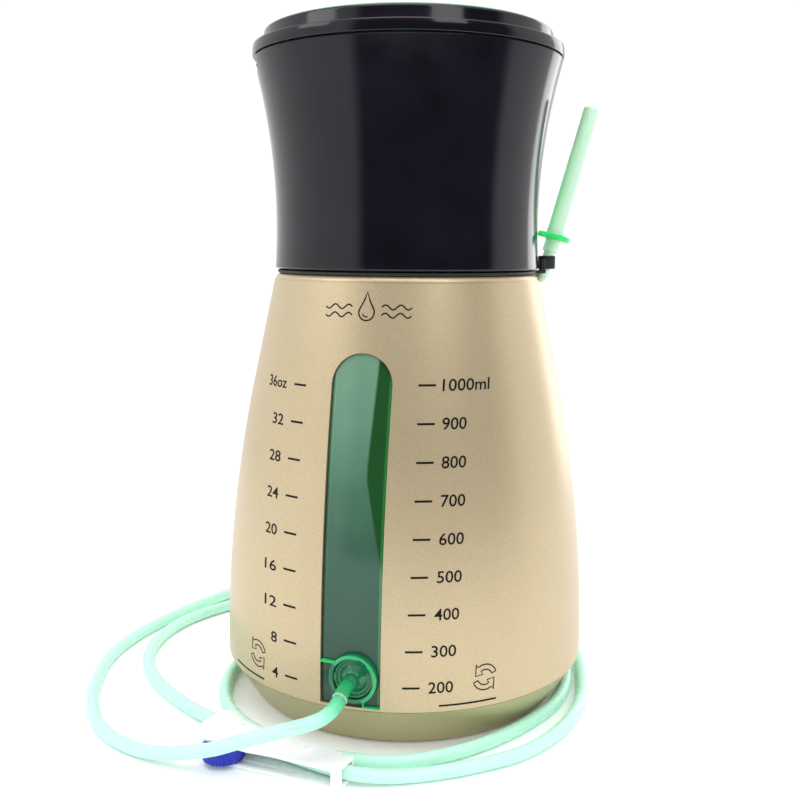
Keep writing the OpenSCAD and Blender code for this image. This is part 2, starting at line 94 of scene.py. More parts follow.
SHEATH_L = 43.5
FLANGE_H = 1.8
STEM_R = 1.9
ELBOW_DROP = 10.9
ELBOW_R = 2.8
EYE_DROP = 8.8
EYE_H = 4.4
TIP_L = 35
CLAMP_H = 7
CLAMP_WALL = 1.2
WHEEL_R = 6.3
WHEEL_RIBS = 40
WHEEL_Z0 = 1.4
WHEEL_Z1 = 5.6
WHEEL_PLACE = (12.5, -0.4, 0)
TRACK_TURN = 5.35
TRACK_BACK = -3
TRACK_AHEAD = 23.5
CLAMP_PLACE = (-46, -73.5, 0)
CLAMP_TURN = -11
HOLDER_TURN = 20
NOZZLE_LEAN = 15.2
NOTCH_TURN = -157
RIDGE_START = -65
RIDGE_END = 144
LIP_PLACE = (1.9, -73, 23.1)
KINK_PLACE = (-7.2, -84, 18.3)
KINK_REACH = 3.6
MARK_STEP = 11.2
ML_TOP = 112
OZ_TOP = 110.4
BAR_Z = 16.6
BAR_STEPS = 12
FLOOR_R = 650

HOSE_ROUTE = [
    (2, -67, 24.4), (2, -69.6, 24.4), (1.9, -73, 23.1), (1.2, -76.8, 21.4), (-1, -80.4, 20),
    (-4.8, -83.1, 18.9), (-9.5, -84.5, 17.6), (-16, -85.3, 15.3), (-24, -85.7, 12.2), (-34, -85.8, 8.2),
    (-54, -83.5, 3.2), (-67, -79.3, 2.3), (-79, -71.8, 2.2), (-91, -58, 2.2), (-100, -41, 2.2),
    (-106.5, -21, 2.2), (-107.5, 0, 2.2), (-104, 21, 2.2), (-98, 42, 2.2), (-90, 62, 2.2), (-77, 80, 2.2),
    (-57, 92, 2.2), (-34, 97, 2.2), (-9, 95, 2.2), (15, 86, 2.2), (49, 53, 2.2), (57.5, 33, 2.2),
    (62.5, 11, 2.2), (64, -10, 2.2), (60.5, -31, 2.2), (52, -48.5, 2.2), (40, -60.5, 2.2), (27, -69.6, 2.2),
    (16, -75.5, 2.8), (6, -77.7, 3.5), (-22, -71, 3.5), (-32, -67.7, 3.5), (-39, -64, 3.5),
    (-46, -59.2, 3.3), (-56, -53, 2.3), (-70, -44, 2.2), (-83, -32.5, 2.2), (-93, -18, 2.2),
    (-97.8, -1, 2.2), (-97, 17, 2.2), (-90, 35, 2.2), (-77, 51.5, 2.2), (-60, 65, 2.2), (-38, 74.5, 2.2),
    (9, 74, 2.2), (29, 63, 2.2), (43.5, 47, 2.2), (52.5, 28, 2.2), (57.2, 8, 2.2), (56.4, -11, 2.2),
    (50, -29, 2.2), (41, -44.5, 2.2), (30, -57, 2.2), (16, -66, 2.2), (0, -68.4, 2.2), (-16, -65.8, 2.2),
    (-30, -60.4, 2.2), (-41.5, -52.5, 2.2), (-50.5, -41, 2.2), (-56.5, -26, 2.2), (-59, -8, 2.2),
    (-58.5, 11, 2.2), (-53.5, 31, 2.2), (-43, 48, 2.2), (-30, 60, 2.4), (-18, 66.6, 4), (-9, 68.8, 9),
    (-4, 68, 19), (-2, 64.8, 45), (-1.2, 60.8, 78), (0.5, 57.3, 98), (4.5, 53.8, 114), (13, 49.2, 126),
    (23, 43.2, 133), (31, 36.7, 137.4), (36.6, 30.8, 140.2), (39.9, 25.8, 141.8), (41.8, 21.5, 142.5),
    (42.8, 18.6, 142.6),
]

# Frames of the parts that don't stand on the bottle's axis
OUTLET_FRAME = Matrix.Translation((OUTLET_X, 0, OUTLET_Z)) @ Matrix.Rotation(radians(90), 4, "X")
HOLDER_FRAME = Matrix.Rotation(radians(HOLDER_TURN), 4, "Z")
NOZZLE_FRAME = (HOLDER_FRAME @ Matrix.Translation((FLANGE_REACH, 0, FLANGE_Z))
                @ Matrix.Rotation(radians(NOZZLE_LEAN), 4, "Y"))
CLAMP_FRAME = Matrix.Translation(CLAMP_PLACE) @ Matrix.Rotation(radians(CLAMP_TURN), 4, "Z")
WHEEL_FRAME = (CLAMP_FRAME @ Matrix.Translation(WHEEL_PLACE)
               @ Matrix.Rotation(radians(TRACK_TURN), 4, "Z"))


def side_r(z):
    """Radius of the bottle's outer face at height z: bevel, long curve, straight cone."""
    if z < BASE_H:
        return BODY_R - (BASE_H - z) * (BODY_R - BASE_R) / BASE_H
    rise = min(z - BASE_H, SIDE_CURVE_H)
    reach = sqrt(SIDE_CURVE_R ** 2 - rise ** 2)
    return BODY_R - (SIDE_CURVE_R - reach) - (z - BASE_H - rise) * rise / reach


def cup_r(z):
    """Radius of the cup's outer face at height z."""
    return WAIST_R + FLARE_R - sqrt(FLARE_R ** 2 - (z - WAIST_Z) ** 2)


def climb(radius, inset, z0, z1, steps):
    """Points (radius, z) up an outer face, set in from it."""
    heights = [z0 + (z1 - z0) * i / steps for i in range(steps + 1)]
    return [(radius(z) - inset, z) for z in heights]


def up_side(inset, z0, z1, steps):
    return climb(side_r, inset, z0, z1, steps)


def up_cup(inset, z0, z1, steps):
    return climb(cup_r, inset, z0, z1, steps)


# -------------------------------------------------------- camera and lights

# Place in metres, angles in degrees
CAMERA_PLACE = (0.09636, -0.33248, 0.15319)
CAMERA_TURN = 16.5
CAMERA_DIP = 8.77
CAMERA_ROLL = 0.36


def make_camera():
    data = bpy.data.cameras.new("camera")
    data.lens = 45.5
    data.sensor_width = 36
    camera = bpy.data.objects.new("camera", data)
    scene.collection.objects.link(camera)
    aim = Euler((radians(90 - CAMERA_DIP), 0, radians(CAMERA_TURN))).to_matrix()
    aim = aim @ Matrix.Rotation(radians(CAMERA_ROLL), 3, "Z")
    camera.matrix_world = Matrix.Translation(CAMERA_PLACE) @ aim.to_4x4()
    scene.camera = camera


def softbox(name, place, aim, width, height, power):
    data = bpy.data.lights.new(name, "AREA")
    data.shape = "RECTANGLE"
    data.size = width
    data.size_y = height
    data.energy = power
    light = bpy.data.objects.new(name, data)
    scene.collection.objects.link(light)
    light.location = place
    light.rotation_euler = (Vector(aim) - Vector(place)).to_track_quat("-Z", "Y").to_euler()
    light.visible_camera = False


def make_world():
    """A white tent. Gloss also sees its dark opening in front, from which the bottle is viewed."""
    world = bpy.data.worlds.new("tent")
    scene.world = world
    world.use_nodes = True
    tree = world.node_tree
    background = tree.nodes["Background"]
    background.inputs["Color"].default_value = (0.99, 0.995, 1, 1)

    def math(operation, a, b=0.0):
        node = tree.nodes.new("ShaderNodeMath")
        node.operation = operation
        for socket, value in zip(node.inputs, (a, b)):
            if isinstance(value, bpy.types.NodeSocket):
                tree.links.new(value, socket)
            else:
                socket.default_value = value
        return node.outputs["Value"]

    def fade(value, low, high):
        node = tree.nodes.new("ShaderNodeMapRange")
        node.interpolation_type = "SMOOTHSTEP"
        node.inputs["From Min"].default_value = low
        node.inputs["From Max"].default_value = high
        tree.links.new(value, node.inputs["Value"])
        return node.outputs["Result"]

    split = tree.nodes.new("ShaderNodeSeparateXYZ")
    tree.links.new(tree.nodes.new("ShaderNodeTexCoord").outputs["Generated"], split.inputs["Vector"])
    turn = math("ARCTAN2", split.outputs["X"], math("MULTIPLY", split.outputs["Y"], -1.0))
    off_centre = math("ABSOLUTE", math("SUBTRACT", turn, radians(35)))
    walls = fade(off_centre, radians(52), radians(66))
    roof = fade(split.outputs["Z"], sin(radians(22)), sin(radians(45)))
    tent = math("MAXIMUM", math("MAXIMUM", walls, roof), 0.07)
    gloss = tree.nodes.new("ShaderNodeLightPath").outputs["Is Glossy Ray"]
    seen = math("ADD", math("MULTIPLY", gloss, tent), math("SUBTRACT", 1.0, gloss))
    tree.links.new(math("MULTIPLY", seen, 1.04), background.inputs["Strength"])


def make_studio():
    scene.view_settings.view_transform = "Standard"
    make_world()
    softbox("right", (0.36, 0.70, 0.28), (0, 0, 0.14), 0.3, 0.7, 1.4)
    softbox("key", (0.48, -0.47, 0.60), (0, 0, 0.1), 0.3, 0.3, 0.85)
    softbox("left", (-0.57, -0.40, 0.62), (0, 0, 0.1), 0.35, 0.35, 1.0)
    softbox("top", (0.05, -0.15, 0.95), (0, 0, 0.1), 0.7, 0.7, 3.0)


# -------------------------------------------------------- mesh tools
# A shape is a pair: a list of points in millimetres, and a list of faces.


def joined(*shapes):
    points, faces = [], []
    for verts, polygons in shapes:
        faces += [tuple(i + len(points) for i in polygon) for polygon in polygons]
        points += verts
    return points, faces


def moved(shape, place):
    return [tuple(place @ Vector(p)) for p in shape[0]], shape[1]


def rounded(corners, steps=4):
    """An outline whose corners (x, y, radius) are rounded."""
    points = []
    for i, (x, y, radius) in enumerate(corners):
        here = Vector((x, y))
        back = Vector(corners[i - 1][:2]) - here
        ahead = Vector(corners[(i + 1) % len(corners)][:2]) - here
        half = back.angle(ahead) / 2
        if radius == 0 or abs(half - pi / 2) < 0.02:
            points.append((x, y))
            continue
        reach = min(radius / tan(half), 0.49 * back.length, 0.49 * ahead.length)
        fillet = reach * tan(half)
        centre = here + (back.normalized() + ahead.normalized()).normalized() * fillet / sin(half)
        start = here + back.normalized() * reach - centre
        end = here + ahead.normalized() * reach - centre
        for k in range(steps + 1):
            arm = start.lerp(end, k / steps).normalized() * fillet
            points.append(tuple(centre + arm))
    return points


def arc(cx, cy, r, a0, a1, steps):
    """Points of an arc, from angle a0 to a1 in degrees."""
    turns = [radians(a0 + (a1 - a0) * i / steps) for i in range(steps + 1)]
    return [(cx + r * cos(a), cy + r * sin(a)) for a in turns]


def lathe(outline, steps=192):
    """A closed outline of (radius, z) turned round the Z axis."""
    verts, rings, faces = [], [], []
    for r, z in outline:
        count = steps if r > 1e-4 else 1
        rings.append([len(verts) + k for k in range(count)])
        verts += [(r * cos(TURN * k / count), r * sin(TURN * k / count), z) for k in range(count)]
    for low, high in zip(rings, rings[1:] + rings[:1]):
        if len(low) + len(high) == 2:
            continue
        for k in range(steps):
            n = (k + 1) % steps
            face = [low[k % len(low)], low[n % len(low)], high[n % len(high)], high[k % len(high)]]
            faces.append(tuple(dict.fromkeys(face)))
    return verts, faces


def prism(outline, z0, z1):
    """A flat outline raised from z0 to z1."""
    n = len(outline)
    verts = [(x, y, z0) for x, y in outline] + [(x, y, z1) for x, y in outline]
    sides = [(i, (i + 1) % n, n + (i + 1) % n, n + i) for i in range(n)]
    return verts, sides + [tuple(reversed(range(n))), tuple(range(n, 2 * n))]


def cylinder(r, z0, z1, steps=64):
    return prism(arc(0, 0, r, 0, 360 * (steps - 1) / steps, steps - 1), z0, z1)


def sector(r_out, r_in, z0, z1, a0, a1, steps=12):
    return prism(arc(0, 0, r_out, a0, a1, steps) + arc(0, 0, r_in, a1, a0, steps), z0, z1)


def stadium(width, low, high):
    """An upright outline with two round ends."""
    r = width / 2
    return arc(0, high - r, r, 0, 180, 24) + arc(0, low + r, r, 180, 360, 24)


def curve_through(points, spacing):
    """Evenly dense points on a smooth curve through the given ones."""
    nodes = [Vector(p) for p in points]
    nodes = [nodes[0] * 2 - nodes[1]] + nodes + [nodes[-1] * 2 - nodes[-2]]
    line = []
    for a, b, c, d in zip(nodes, nodes[1:], nodes[2:], nodes[3:]):
        knots = [0]
        for p, q in ((a, b), (b, c), (c, d)):
            knots.append(knots[-1] + sqrt((q - p).length))
        count = max(2, round((c - b).length / spacing))
        for i in range(count):
            t = knots[1] + (knots[2] - knots[1]) * i / count
            ab = a.lerp(b, (t - knots[0]) / (knots[1] - knots[0]))
            bc = b.lerp(c, (t - knots[1]) / (knots[2] - knots[1]))
            cd = c.lerp(d, (t - knots[2]) / (knots[3] - knots[2]))
            abc = ab.lerp(bc, (t - knots[0]) / (knots[2] - knots[0]))
            bcd = bc.lerp(cd, (t - knots[1]) / (knots[3] - knots[1]))
            line.append(abc.lerp(bcd, (t - knots[1]) / (knots[2] - knots[1])))
    return line + [nodes[-2]]


def tube(line, r_out, r_in, sides=24, dent=None):
    """A hollow tube along a line. dent(point, direction) is how far its outer face moves out."""
    last = len(line) - 1
    side = Vector((1, 0, 0))
    verts, faces = [], []
    for i, centre in enumerate(line):
        ahead = (line[min(i + 1, last)] - line[max(i - 1, 0)]).normalized()
        side = (side - ahead * side.dot(ahead)).normalized()
        up = ahead.cross(side)
        for k in range(sides):
            arm = side * cos(TURN * k / sides) + up * sin(TURN * k / sides)
            give = dent(centre, arm) if dent else 0
            verts.append(tuple(centre + arm * (r_out + give)))
            verts.append(tuple(centre + arm * (r_in + min(give, 0))))
    for k in range(sides):
        n = (k + 1) % sides
        for i in range(last):
            a, b = 2 * sides * i, 2 * sides * (i + 1)
            faces.append((a + 2 * k, a + 2 * n, b + 2 * n, b + 2 * k))
            faces.append((a + 2 * n + 1, a + 2 * k + 1, b + 2 * k + 1, b + 2 * n + 1))
        e = 2 * sides * last
        faces.append((2 * n, 2 * k, 2 * k + 1, 2 * n + 1))
        faces.append((e + 2 * k, e + 2 * n, e + 2 * n + 1, e + 2 * k + 1))
    return verts, faces


def thread(r_root, r_crest, z_start, turns=1.5):
    """One ridge of a screw thread that fades in and out."""
    steps = 120
    section = [(0, -0.9), (0.75, -0.55), (1, -0.3), (1, 0.3), (0.75, 0.55), (0, 0.9)]
    verts, faces = [], []
    for i in range(steps + 1):
        a = TURN * turns * i / steps
        fade = max(0.12, min(1, i / 8, (steps - i) / 8))
        for s, dz in section:
            r = r_root + (r_crest - r_root) * s * fade
            verts.append((r * cos(a), r * sin(a), z_start + THREAD_PITCH * turns * i / steps + dz * fade))
    n = len(section)
    for i in range(steps):
        for k in range(n):
            a, b = n * i + k, n * i + (k + 1) % n
            faces.append((a, b, b + n, a + n))
    faces.append(tuple(range(n)))
    faces.append(tuple(n * steps + k for k in reversed(range(n))))
    return verts, faces


def build(name, shape):
    """A mesh object in metres with outward normals."""
    mesh = bpy.data.meshes.new(name)
    mesh.from_pydata([tuple(c * MM for c in p) for p in shape[0]], [], shape[1])
    work = bmesh.new()
    work.from_mesh(mesh)
    bmesh.ops.recalc_face_normals(work, faces=work.faces)
    work.to_mesh(mesh)
    work.free()
    obj = bpy.data.objects.new(name, mesh)
    scene.collection.objects.link(obj)
    return obj


def bake(obj):
    """Turns an object's modifiers into its mesh."""
    evaluated = obj.evaluated_get(bpy.context.evaluated_depsgraph_get())
    mesh = bpy.data.meshes.new_from_object(evaluated)
    obj.modifiers.clear()
    obj.data = mesh


def combine(obj, tool, operation):
    """Joins, cuts or intersects an object with a tool object, which is used up."""
    modifier = obj.modifiers.new("carve", "BOOLEAN")
    modifier.operation = operation
    modifier.solver = "EXACT"
    modifier.object = tool
    bake(obj)
    bpy.data.objects.remove(tool)


def carve(obj, shape, operation="DIFFERENCE"):
    combine(obj, build("tool", shape), operation)


def soften(obj, width, angle=35, segments=3):
    """Rounds an object's edges."""
    modifier = obj.modifiers.new("soften", "BEVEL")
    modifier.width = width * MM
    modifier.segments = segments
    modifier.limit_method = "ANGLE"
    modifier.angle_limit = radians(angle)
    bake(obj)


def place(obj, body, slot, material, stands_for=(), sharp=32):
    """Shades a piece, gives it its material and lets it ride on its body."""
    obj.data.shade_smooth()
    obj.data.set_sharp_from_angle(angle=radians(sharp))
    obj.data.materials.clear()
    obj.data.materials.append(material)
    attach(obj, body)
    if stands_for:
        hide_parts(*stands_for)


# -------------------------------------------------------- materials


class Finish:
    """A procedural material: a Principled shader with helpers for what varies over the surface."""

    def __init__(self, name, colour, roughness, **sockets):
        self.material = bpy.data.materials.new(name)
        self.material.use_nodes = True
        self.tree = self.material.node_tree
        self.shader = self.tree.nodes["Principled BSDF"]
        self.set("Base Color", (*colour, 1))
        self.set("Roughness", roughness)
        for socket, value in sockets.items():
            self.set(socket.replace("_", " "), value)
        self.where = self.tree.nodes.new("ShaderNodeTexCoord").outputs["Object"]

    def set(self, socket, value):
        self.shader.inputs[socket].default_value = value

    def noise(self, size_mm, detail=2.0, stretch=(1, 1, 1)):
        mapping = self.tree.nodes.new("ShaderNodeMapping")
        mapping.inputs["Scale"].default_value = stretch
        self.tree.links.new(self.where, mapping.inputs["Vector"])
        node = self.tree.nodes.new("ShaderNodeTexNoise")
        node.inputs["Scale"].default_value = 1 / (size_mm * MM)
        node.inputs["Detail"].default_value = detail
        self.tree.links.new(mapping.outputs["Vector"], node.inputs["Vector"])
        return node.outputs["Fac"]

    def ramp(self, source, stops):
        node = self.tree.nodes.new("ShaderNodeValToRGB")
        while len(node.color_ramp.elements) < len(stops):
            node.color_ramp.elements.new(0.5)
        for element, (position, colour) in zip(node.color_ramp.elements, stops):
            element.position = position
            element.color = (*colour, 1)
        self.tree.links.new(source, node.inputs["Fac"])
        return node.outputs["Color"]

    def range(self, source, low, high, start=0.3, end=0.7):
        node = self.tree.nodes.new("ShaderNodeMapRange")
        node.inputs["From Min"].default_value = start
        node.inputs["From Max"].default_value = end
        node.inputs["To Min"].default_value = low
        node.inputs["To Max"].default_value = high
        self.tree.links.new(source, node.inputs["Value"])
        return node.outputs["Result"]

    def axis(self, name):
        node = self.tree.nodes.new("ShaderNodeSeparateXYZ")
        self.tree.links.new(self.where, node.inputs["Vector"])
        return node.outputs[name]

    def mix(self, factor, a, b, mode="MIX"):
        node = self.tree.nodes.new("ShaderNodeMix")
        node.data_type = "RGBA"
        node.blend_type = mode
        for socket, value in ((node.inputs["Factor"], factor), (node.inputs["A"], a), (node.inputs["B"], b)):
            if isinstance(value, bpy.types.NodeSocket):
                self.tree.links.new(value, socket)
            else:
                socket.default_value = value
        return node.outputs["Result"]

    def sum(self, a, b, operation="ADD"):
        node = self.tree.nodes.new("ShaderNodeMath")
        node.operation = operation
        self.tree.links.new(a, node.inputs[0])
        self.tree.links.new(b, node.inputs[1])
        return node.outputs["Value"]

    def feed(self, socket, source):
        self.tree.links.new(source, self.shader.inputs[socket])

    def bump(self, source, height_mm):
        node = self.tree.nodes.new("ShaderNodeBump")
        node.inputs["Strength"].default_value = 1.0
        node.inputs["Distance"].default_value = height_mm * MM
        self.tree.links.new(source, node.inputs["Height"])
        if self.shader.inputs["Normal"].is_linked:
            link = self.shader.inputs["Normal"].links[0]
            self.tree.links.new(link.from_socket, node.inputs["Normal"])
        self.tree.links.new(node.outputs["Normal"], self.shader.inputs["Normal"])


def tinted(factor, colour):
    return tuple(min(1, c * factor) for c in colour)


def moulded(name, colour, roughness, grain_mm=0.8, grain_height=0.01, vary=0.06, **sockets):
    """A plastic or rubber with a faint moulded grain and slow changes of tone and gloss."""
    finish = Finish(name, colour, roughness, **sockets)
    tone = finish.ramp(finish.noise(14), [(0.3, tinted(1 - vary, colour)), (0.7, tinted(1 + vary, colour))])
    finish.feed("Base Color", tone)
    finish.feed("Roughness", finish.range(finish.noise(5, 3), roughness * 0.85, min(1, roughness * 1.2)))
    finish.bump(finish.noise(grain_mm, 3), grain_height)
    return finish


def metallic_paint(name, colour, roughness, metallic):
    """Satin paint with fine metal flakes under it."""
    finish = Finish(name, colour, roughness, Metallic=metallic, Coat_Weight=0.12, Coat_Roughness=0.25)
    slow = finish.ramp(finish.noise(40), [(0.3, tinted(0.97, colour)), (0.7, tinted(1.03, colour))])
    flakes = finish.ramp(finish.noise(0.35, 1), [(0.35, (0.86, 0.86, 0.86)), (0.65, (1, 1, 1))])
    finish.feed("Base Color", finish.mix(1.0, slow, flakes, "MULTIPLY"))
    finish.feed("Roughness", finish.range(finish.noise(0.5, 2), roughness - 0.05, roughness + 0.06))
    finish.bump(finish.noise(0.4, 1), 0.006)
    finish.bump(finish.noise(6, 2), 0.01)
    return finish


def make_gold():
    return metallic_paint("gold_paint", (0.60, 0.485, 0.305), 0.38, 0.6).material


def make_bronze():
    return metallic_paint("bronze_paint", (0.47, 0.41, 0.22), 0.4, 0.5).material


def make_black():
    """Polished black with a violet tint in its slow change of tone."""
    return moulded("black_gloss", (0.0045, 0.0035, 0.0075), 0.12, 3.0, 0.004, 0.3,
                   Specular_IOR_Level=0.42).material


def make_window_green():
    """Clear green tank plastic with light and shade painted in: painted light higher up, where light falls
    in, painted shade low down and along a lens-shaped band, and painted highlights by both edges.
    """
    finish = Finish("green_clear", (0.05, 0.16, 0.08), 0.09, Specular_IOR_Level=0.35)
    finish.set("Transmission Weight", 0.06)
    height = finish.axis("Z")
    # painted light and shade: the pane is painted lighter higher up, where light falls in, and darker low
    # down
    painted_light_by_height = finish.ramp(finish.range(height, 0, 1, 15 * MM, 121 * MM), [
        (0.0, (0.03, 0.075, 0.05)), (0.15, (0.028, 0.085, 0.055)), (0.42, (0.04, 0.105, 0.07)),
        (0.62, (0.065, 0.16, 0.10)), (0.8, (0.12, 0.25, 0.17)), (1.0, (0.15, 0.30, 0.20)),
    ])
    half = WINDOW_W / 2
    across = finish.range(finish.axis("X"), 0, 1, (WINDOW_X - half) * MM, (WINDOW_X + half) * MM)
    # painted shade: a dark lens-shaped band down the right of the window, shifted with height
    low_shift = finish.range(height, 0.34, 0, 52 * MM, 84 * MM)
    high_shift = finish.range(height, 0, 0.09, 88 * MM, 121 * MM)
    band_place = finish.sum(finish.sum(across, low_shift, "SUBTRACT"), high_shift, "SUBTRACT")
    band = finish.range(band_place, 0, 1, 0.655, 0.695)
    colour = finish.mix(band, painted_light_by_height, (0.012, 0.07, 0.018, 1))
    # painted highlights just inside both edges, brightest on the right, and painted shade along the left
    # edge of the recess
    edge = finish.ramp(across, [
        (0.0, (0.35, 0.45, 0.4)), (0.04, (0.4, 0.55, 0.45)), (0.06, (1.15, 1.3, 1.1)),
        (0.09, (1, 1, 1)), (0.93, (1, 1, 1)), (0.965, (2.2, 3.0, 2.4)), (1.0, (1.2, 1.4, 1.2)),
    ])
    cloud = finish.ramp(finish.noise(9), [(0.3, (0.9, 0.9, 0.9)), (0.7, (1, 1, 1))])
    finish.feed("Base Color", finish.mix(1.0, finish.mix(1.0, colour, edge, "MULTIPLY"), cloud, "MULTIPLY"))
    finish.feed("Roughness", finish.range(finish.noise(4, 3), 0.07, 0.13))
    finish.bump(finish.noise(7, 1), 0.02)
    return finish.material


def make_hose():
    """Milky mint tubing, dark where it is pulled over the ribbed stub and green for a little way beyond."""
    mint = (0.53, 0.98, 0.75)
    finish = Finish("mint_silicone", mint, 0.25, Specular_IOR_Level=0.4)
    finish.set("Subsurface Weight", 0.25)
    finish.set("Subsurface Radius", (1.0, 1.0, 1.0))
    finish.set("Subsurface Scale", 0.002)
    tone = finish.ramp(finish.noise(14), [(0.3, tinted(0.97, mint)), (0.7, tinted(1.02, mint))])
    raised = finish.range(finish.axis("Z"), 0, 1, 15 * MM, 16 * MM)
    out = finish.range(finish.axis("Y"), 0, 1, -86 * MM, -73 * MM)
    front = finish.range(finish.axis("Y"), 1, 0, -60 * MM, -50 * MM)
    near = finish.sum(finish.sum(raised, out, "MULTIPLY"), front, "MULTIPLY")
    tint = finish.ramp(near, [(0.0, (1, 1, 1)), (0.3, (0.75, 0.97, 0.88)), (0.65, (0.25, 0.66, 0.46)),
                              (0.99, (0.06, 0.42, 0.24)), (1.0, (0.03, 0.34, 0.15))])
    finish.feed("Base Color", finish.mix(1.0, tone, tint, "MULTIPLY"))
    finish.feed("Roughness", finish.range(finish.noise(5, 3), 0.22, 0.3))
    finish.bump(finish.noise(6, 1), 0.004)
    return finish.material


def make_steel():
    finish = Finish("steel", (0.74, 0.75, 0.77), 0.24, Metallic=1.0)
    brushed = finish.noise(0.6, 3, (1, 1, 0.08))
    finish.feed("Roughness", finish.range(brushed, 0.18, 0.34))
    finish.bump(brushed, 0.01)
    return finish.material


def make_materials():
    clear = {"Transmission_Weight": 0.45, "Specular_IOR_Level": 0.6}
    return {
        "gold_paint": make_gold(),
        "bronze_paint": make_bronze(),
        "black_gloss": make_black(),
        "green_clear": make_window_green(),
        "green_bright": moulded("green_bright", (0.045, 0.92, 0.24), 0.14, 2.0, 0.006,
                                Transmission_Weight=0.35, Specular_IOR_Level=0.5).material,
        "green_mid": moulded("green_mid", (0.025, 0.50, 0.17), 0.12, 2.0, 0.006,
                             Transmission_Weight=0.25, Specular_IOR_Level=0.7).material,
        "green_dark": moulded("green_dark", (0.01, 0.22, 0.09), 0.14, 2.0, 0.006,
                              Transmission_Weight=0.25, Specular_IOR_Level=0.7).material,
        "black_rubber": moulded("black_rubber", (0.012, 0.012, 0.013), 0.6, 0.5, 0.02, 0.15).material,
        "clear_silicone": moulded("clear_silicone", (0.80, 0.86, 0.83), 0.32, 1.2, 0.01, **clear).material,
        "mint_silicone": make_hose(),
        "white_plastic": moulded("white_plastic", (0.91, 0.915, 0.935), 0.3, 1.5, 0.008, 0.02,
                                 Subsurface_Weight=0.2, Subsurface_Scale=0.002).material,
        "blue_plastic": moulded("blue_plastic", (0.015, 0.035, 0.50), 0.28, 1.0, 0.01).material,
        "steel": make_steel(),
        "nozzle_clear": moulded("nozzle_clear", (0.72, 1.0, 0.78), 0.12, 2.5, 0.003, 0.01,
                                Transmission_Weight=0.3, IOR=1.3, Specular_IOR_Level=0.5).material,
        "ink": moulded("ink", (0.006, 0.0055, 0.006), 0.5, 0.4, 0.003, 0.2,
                       Specular_IOR_Level=0.15).material,
    }


# -------------------------------------------------------- hose


def hose_dent(centre, arm):
    """The flattened kink near the outlet: its upper side is pushed in along a short leaf shape."""
    along = (centre - Vector(KINK_PLACE)).length / KINK_REACH
    if along >= 1:
        return 0
    facing = arm.dot(Vector((0.25, -0.55, 0.8)).normalized())
    crease = max(0, 1 - abs(facing - 0.75) / 0.45)
    return (1 - along * along) * (-1.25 * crease + 0.25 * max(0, -facing))


def make_hose_piece(skins):
    line = curve_through(HOSE_ROUTE, 1.4)
    hose = build("hose_tube", tube(line, HOSE_D / 2, HOSE_BORE / 2, 24, hose_dent))
    place(hose, "bottle", "mint_silicone", skins["mint_silicone"], ["hose"], 50)
    heading = Vector((-0.8, -7, -2.9)).to_track_quat("Z", "Y").to_matrix().to_4x4()
    rim = lathe(arc(HOSE_D / 2, 0, 0.26, 0, 330, 11), 48)
    lip = build("hose_end_lip", moved(rim, Matrix.Translation(LIP_PLACE) @ heading))
    place(lip, "bottle", "mint_silicone", skins["clear_silicone"])
    return hose, lip, line


# -------------------------------------------------------- bottle


def window_prism(width, z0, z1):
    """The window's outline as a prism through the front wall."""
    r = width / 2
    outline = [(WINDOW_X - r, z0), (WINDOW_X + r, z0)] + arc(WINDOW_X, z1 - r, r, 0, 180, 40)
    return moved(prism(outline, 30, 80), Matrix.Rotation(radians(90), 4, "X"))


def make_casing(skins):
    top = SHOULDER_Z
    shoulder_r = side_r(top - 2) - 2.4
    outline = up_side(0, BASE_H, top - 2, 64) + arc(shoulder_r, top - 2, 2, 0, 90, 8)
    outline += [(STEP_R + 0.3, top), (STEP_R + 0.3, top - 1.7)]
    outline += list(reversed(up_side(CASING_WALL, BASE_H, top - 1.7, 40)))
    casing = build("gold_casing", lathe(outline, 240))
    carve(casing, window_prism(WINDOW_W, WINDOW_Z0, WINDOW_Z1))
    place(casing, "bottle", "gold_paint", skins["gold_paint"], ["casing"])


